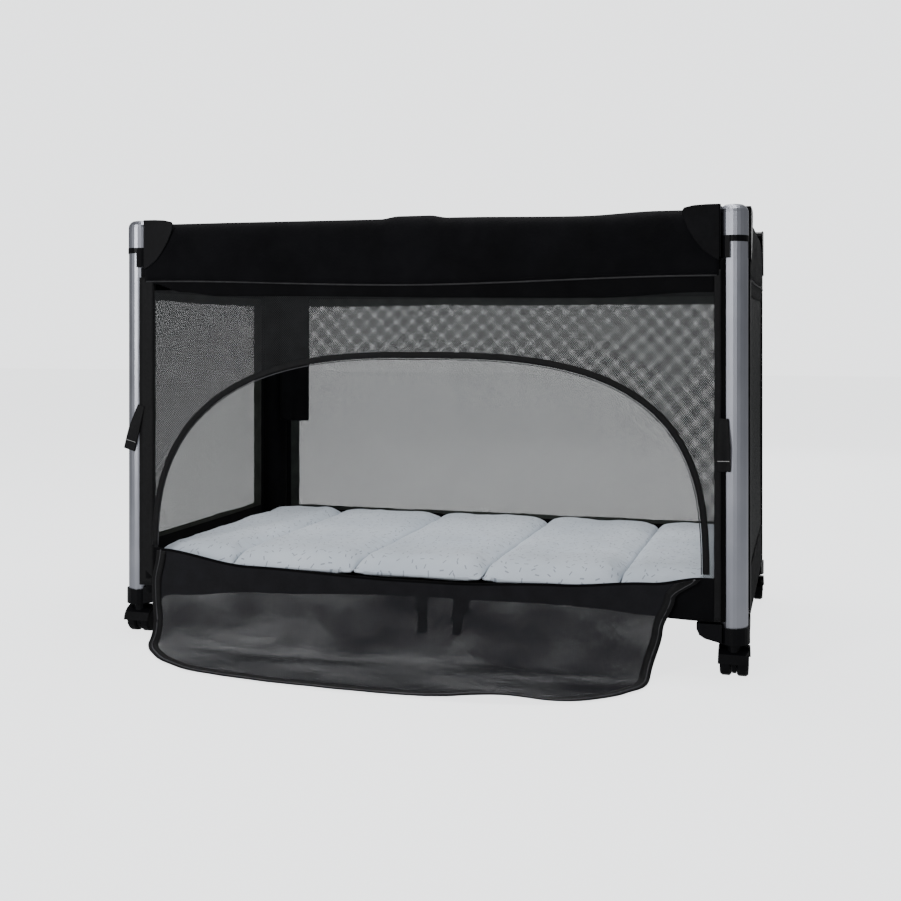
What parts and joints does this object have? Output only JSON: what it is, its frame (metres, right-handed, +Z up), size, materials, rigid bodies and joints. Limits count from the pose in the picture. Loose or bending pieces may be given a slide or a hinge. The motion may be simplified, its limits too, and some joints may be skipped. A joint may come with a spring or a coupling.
{
  "type": "travel cot playpen",
  "caption": "Folding travel cot with round corner posts on castors, mesh sides, a zipped side doorway and a folding padded mattress.",
  "frame": {"origin": "on the floor under the middle of the cot", "axes": "+X along the long sides to the right, -Y out of the doorway side, +Z up"},
  "size_m": [1.267, 0.8744, 0.85],
  "materials": {
    "satin_aluminium": "satin",
    "frame_steel": "satin",
    "black_plastic": "fine grain",
    "castor_plastic": "semi-gloss",
    "quilted_cover": "quilted, pale blue-white",
    "mesh_and_band": "black net with woven bands",
    "black_fabric": "woven",
    "webbing": "woven tape"
  },
  "bodies": {
    "front_left_post": {"post_front_left": "satin_aluminium", "cap_front_left": "satin_aluminium", "housing_front_left": "black_plastic", "foot_front_left": "black_plastic", "wall_front": "mesh_and_band", "door_flap": "mesh_and_band", "strap_left": "webbing"},
    "front_right_post": {"post_front_right": "satin_aluminium", "cap_front_right": "satin_aluminium", "housing_front_right": "black_plastic", "foot_front_right": "black_plastic", "strap_right": "webbing"},
    "rear_left_post": {"post_rear_left": "satin_aluminium", "cap_rear_left": "satin_aluminium", "housing_rear_left": "black_plastic", "foot_rear_left": "black_plastic", "wall_rear": "mesh_and_band", "wall_left": "mesh_and_band", "floor_cloth": "black_fabric", "corner_flap": "black_fabric"},
    "rear_right_post": {"post_rear_right": "satin_aluminium", "cap_rear_right": "satin_aluminium", "housing_rear_right": "black_plastic", "foot_rear_right": "black_plastic", "wall_right": "mesh_and_band"},
    "castor_front_left_body": {"castor_front_left": "black_plastic"},
    "wheel_front_left_left_body": {"wheel_front_left_left": "castor_plastic"},
    "wheel_front_left_right_body": {"wheel_front_left_right": "castor_plastic"},
    "base_front_left": {"base_tube_front_left": "frame_steel"},
    "castor_front_right_body": {"castor_front_right": "black_plastic"},
    "wheel_front_right_left_body": {"wheel_front_right_left": "castor_plastic"},
    "wheel_front_right_right_body": {"wheel_front_right_right": "castor_plastic"},
    "base_front_right": {"base_tube_front_right": "frame_steel"},
    "castor_rear_left_body": {"castor_rear_left": "black_plastic"},
    "wheel_rear_left_left_body": {"wheel_rear_left_left": "castor_plastic"},
    "wheel_rear_left_right_body": {"wheel_rear_left_right": "castor_plastic"},
    "base_rear_left": {"base_tube_rear_left": "frame_steel"},
    "castor_rear_right_body": {"castor_rear_right": "black_plastic"},
    "wheel_rear_right_left_body": {"wheel_rear_right_left": "castor_plastic"},
    "wheel_rear_right_right_body": {"wheel_rear_right_right": "castor_plastic"},
    "base_rear_right": {"base_tube_rear_right": "frame_steel"},
    "hub_body": {"hub": "black_plastic"},
    "half_rail_front_left": {"rail_front_left": "frame_steel"},
    "half_rail_front_right": {"rail_front_right": "frame_steel"},
    "half_rail_rear_left": {"rail_rear_left": "frame_steel"},
    "half_rail_rear_right": {"rail_rear_right": "frame_steel"},
    "half_rail_left_front": {"rail_left_front": "frame_steel"},
    "half_rail_left_rear": {"rail_left_rear": "frame_steel"},
    "half_rail_right_front": {"rail_right_front": "frame_steel"},
    "half_rail_right_rear": {"rail_right_rear": "frame_steel"},
    "latch_front_body": {"latch_front": "black_plastic"},
    "latch_rear_body": {"latch_rear": "black_plastic"},
    "latch_left_body": {"latch_left": "black_plastic"},
    "latch_right_body": {"latch_right": "black_plastic"},
    "mattress_1": {"mattress_panel_1": "quilted_cover"},
    "mattress_2": {"mattress_panel_2": "quilted_cover"},
    "mattress_3": {"mattress_panel_3": "quilted_cover"},
    "mattress_4": {"mattress_panel_4": "quilted_cover"},
    "mattress_5": {"mattress_panel_5": "quilted_cover"}
  },
  "joints": [
    {"name": "fold", "type": "hinge", "parent": "rear_left_post", "child": "base_rear_left", "pos_m": [-0.57, 0.265, 0.1], "axis": [-0.395, -0.9187, 0], "range_deg": [0, 80], "deforming": ["wall_front", "wall_rear", "wall_left", "wall_right", "floor_cloth", "door_flap", "corner_flap", "mattress_panel_1", "mattress_panel_2", "mattress_panel_3", "mattress_panel_4", "mattress_panel_5"]},
    {"name": "hub_level", "type": "hinge", "parent": "base_rear_left", "child": "hub_body", "pos_m": [-0.035, 0.035, 0.1], "axis": [0.395, 0.9187, 0], "range_deg": [0, 80]},
    {"name": "base_front_left_turn", "type": "hinge", "parent": "hub_body", "child": "base_front_left", "pos_m": [-0.035, -0.035, 0.1], "axis": [0.395, -0.9187, 0], "range_deg": [0, 80]},
    {"name": "front_left_upright", "type": "hinge", "parent": "base_front_left", "child": "front_left_post", "pos_m": [-0.57, -0.265, 0.1], "axis": [-0.395, 0.9187, 0], "range_deg": [0, 80]},
    {"name": "base_front_right_turn", "type": "hinge", "parent": "hub_body", "child": "base_front_right", "pos_m": [0.035, -0.035, 0.1], "axis": [0.395, 0.9187, 0], "range_deg": [0, 80]},
    {"name": "front_right_upright", "type": "hinge", "parent": "base_front_right", "child": "front_right_post", "pos_m": [0.57, -0.265, 0.1], "axis": [-0.395, -0.9187, 0], "range_deg": [0, 80]},
    {"name": "base_rear_right_turn", "type": "hinge", "parent": "hub_body", "child": "base_rear_right", "pos_m": [0.035, 0.035, 0.1], "axis": [-0.395, 0.9187, 0], "range_deg": [0, 80]},
    {"name": "rear_right_upright", "type": "hinge", "parent": "base_rear_right", "child": "rear_right_post", "pos_m": [0.57, 0.265, 0.1], "axis": [0.395, -0.9187, 0], "range_deg": [0, 80]},
    {"name": "half_rail_front_left_turn", "type": "hinge", "parent": "front_left_post", "child": "half_rail_front_left", "pos_m": [-0.555, -0.3, 0.815], "axis": [0, 1, 0], "range_deg": [0, 80]},
    {"name": "half_rail_front_right_turn", "type": "hinge", "parent": "front_right_post", "child": "half_rail_front_right", "pos_m": [0.555, -0.3, 0.815], "axis": [0, -1, 0], "range_deg": [0, 80]},
    {"name": "half_rail_rear_left_turn", "type": "hinge", "parent": "rear_left_post", "child": "half_rail_rear_left", "pos_m": [-0.555, 0.3, 0.815], "axis": [0, 1, 0], "range_deg": [0, 80]},
    {"name": "half_rail_rear_right_turn", "type": "hinge", "parent": "rear_right_post", "child": "half_rail_rear_right", "pos_m": [0.555, 0.3, 0.815], "axis": [0, -1, 0], "range_deg": [0, 80]},
    {"name": "half_rail_left_front_turn", "type": "hinge", "parent": "front_left_post", "child": "half_rail_left_front", "pos_m": [-0.605, -0.25, 0.815], "axis": [-1, 0, 0], "range_deg": [0, 80]},
    {"name": "half_rail_left_rear_turn", "type": "hinge", "parent": "rear_left_post", "child": "half_rail_left_rear", "pos_m": [-0.605, 0.25, 0.815], "axis": [1, 0, 0], "range_deg": [0, 80]},
    {"name": "half_rail_right_front_turn", "type": "hinge", "parent": "front_right_post", "child": "half_rail_right_front", "pos_m": [0.605, -0.25, 0.815], "axis": [-1, 0, 0], "range_deg": [0, 80]},
    {"name": "half_rail_right_rear_turn", "type": "hinge", "parent": "rear_right_post", "child": "half_rail_right_rear", "pos_m": [0.605, 0.25, 0.815], "axis": [1, 0, 0], "range_deg": [0, 80]},
    {"name": "latch_front_level", "type": "hinge", "parent": "half_rail_front_left", "child": "latch_front_body", "pos_m": [-0.02, -0.3, 0.815], "axis": [0, -1, 0], "range_deg": [0, 80]},
    {"name": "latch_rear_level", "type": "hinge", "parent": "half_rail_rear_left", "child": "latch_rear_body", "pos_m": [-0.02, 0.3, 0.815], "axis": [0, -1, 0], "range_deg": [0, 80]},
    {"name": "latch_left_level", "type": "hinge", "parent": "half_rail_left_rear", "child": "latch_left_body", "pos_m": [-0.605, 0.02, 0.815], "axis": [-1, 0, 0], "range_deg": [0, 80]},
    {"name": "latch_right_level", "type": "hinge", "parent": "half_rail_right_rear", "child": "latch_right_body", "pos_m": [0.605, 0.02, 0.815], "axis": [-1, 0, 0], "range_deg": [0, 80]},
    {"name": "castor_front_left_swivel", "type": "hinge", "parent": "front_left_post", "child": "castor_front_left_body", "pos_m": [-0.605, -0.3, 0.06], "axis": [0, 0, 1], "continuous": true},
    {"name": "wheel_front_left_left_spin", "type": "hinge", "parent": "castor_front_left_body", "child": "wheel_front_left_left_body", "pos_m": [-0.605, -0.292, 0.025], "axis": [1, 0, 0], "continuous": true},
    {"name": "wheel_front_left_right_spin", "type": "hinge", "parent": "castor_front_left_body", "child": "wheel_front_left_right_body", "pos_m": [-0.605, -0.292, 0.025], "axis": [1, 0, 0], "continuous": true},
    {"name": "castor_front_right_swivel", "type": "hinge", "parent": "front_right_post", "child": "castor_front_right_body", "pos_m": [0.605, -0.3, 0.06], "axis": [0, 0, 1], "continuous": true},
    {"name": "wheel_front_right_left_spin", "type": "hinge", "parent": "castor_front_right_body", "child": "wheel_front_right_left_body", "pos_m": [0.605, -0.292, 0.025], "axis": [1, 0, 0], "continuous": true},
    {"name": "wheel_front_right_right_spin", "type": "hinge", "parent": "castor_front_right_body", "child": "wheel_front_right_right_body", "pos_m": [0.605, -0.292, 0.025], "axis": [1, 0, 0], "continuous": true},
    {"name": "castor_rear_left_swivel", "type": "hinge", "parent": "rear_left_post", "child": "castor_rear_left_body", "pos_m": [-0.605, 0.3, 0.06], "axis": [0, 0, 1], "continuous": true},
    {"name": "wheel_rear_left_left_spin", "type": "hinge", "parent": "castor_rear_left_body", "child": "wheel_rear_left_left_body", "pos_m": [-0.605, 0.308, 0.025], "axis": [1, 0, 0], "continuous": true},
    {"name": "wheel_rear_left_right_spin", "type": "hinge", "parent": "castor_rear_left_body", "child": "wheel_rear_left_right_body", "pos_m": [-0.605, 0.308, 0.025], "axis": [1, 0, 0], "continuous": true},
    {"name": "castor_rear_right_swivel", "type": "hinge", "parent": "rear_right_post", "child": "castor_rear_right_body", "pos_m": [0.605, 0.3, 0.06], "axis": [0, 0, 1], "continuous": true},
    {"name": "wheel_rear_right_left_spin", "type": "hinge", "parent": "castor_rear_right_body", "child": "wheel_rear_right_left_body", "pos_m": [0.605, 0.308, 0.025], "axis": [1, 0, 0], "continuous": true},
    {"name": "wheel_rear_right_right_spin", "type": "hinge", "parent": "castor_rear_right_body", "child": "wheel_rear_right_right_body", "pos_m": [0.605, 0.308, 0.025], "axis": [1, 0, 0], "continuous": true},
    {"name": "mattress_lift", "type": "slide", "parent": "rear_left_post", "child": "mattress_3", "axis": [0, 0, 1], "range_m": [0, 0.9]},
    {"name": "mattress_fold_left", "type": "hinge", "parent": "mattress_3", "child": "mattress_2", "pos_m": [-0.132, 0, 0.178], "axis": [0, 1, 0], "range_deg": [0, 70]},
    {"name": "mattress_end_left", "type": "hinge", "parent": "mattress_2", "child": "mattress_1", "pos_m": [-0.396, 0, 0.178], "axis": [0, 1, 0], "range_deg": [0, 70]},
    {"name": "mattress_fold_right", "type": "hinge", "parent": "mattress_3", "child": "mattress_4", "pos_m": [0.132, 0, 0.178], "axis": [0, -1, 0], "range_deg": [0, 70]},
    {"name": "mattress_end_right", "type": "hinge", "parent": "mattress_4", "child": "mattress_5", "pos_m": [0.396, 0, 0.178], "axis": [0, -1, 0], "range_deg": [0, 70]}
  ],
  "couplings": [
    {"joint": "hub_level", "follows": "fold", "ratio": 1},
    {"joint": "base_front_left_turn", "follows": "fold", "ratio": 1},
    {"joint": "front_left_upright", "follows": "fold", "ratio": 1},
    {"joint": "base_front_right_turn", "follows": "fold", "ratio": 1},
    {"joint": "front_right_upright", "follows": "fold", "ratio": 1},
    {"joint": "base_rear_right_turn", "follows": "fold", "ratio": 1},
    {"joint": "rear_right_upright", "follows": "fold", "ratio": 1},
    {"joint": "half_rail_front_left_turn", "follows": "fold", "ratio": 1},
    {"joint": "half_rail_front_right_turn", "follows": "fold", "ratio": 1},
    {"joint": "half_rail_rear_left_turn", "follows": "fold", "ratio": 1},
    {"joint": "half_rail_rear_right_turn", "follows": "fold", "ratio": 1},
    {"joint": "half_rail_left_front_turn", "follows": "fold", "ratio": 1},
    {"joint": "half_rail_left_rear_turn", "follows": "fold", "ratio": 1},
    {"joint": "half_rail_right_front_turn", "follows": "fold", "ratio": 1},
    {"joint": "half_rail_right_rear_turn", "follows": "fold", "ratio": 1},
    {"joint": "latch_front_level", "follows": "fold", "ratio": 1},
    {"joint": "latch_rear_level", "follows": "fold", "ratio": 1},
    {"joint": "latch_left_level", "follows": "fold", "ratio": 1},
    {"joint": "latch_right_level", "follows": "fold", "ratio": 1},
    {"joint": "mattress_lift", "follows": "fold", "m_per_rad": 0.644},
    {"joint": "mattress_end_left", "follows": "mattress_fold_left", "ratio": 1},
    {"joint": "mattress_end_right", "follows": "mattress_fold_right", "ratio": 1}
  ]
}
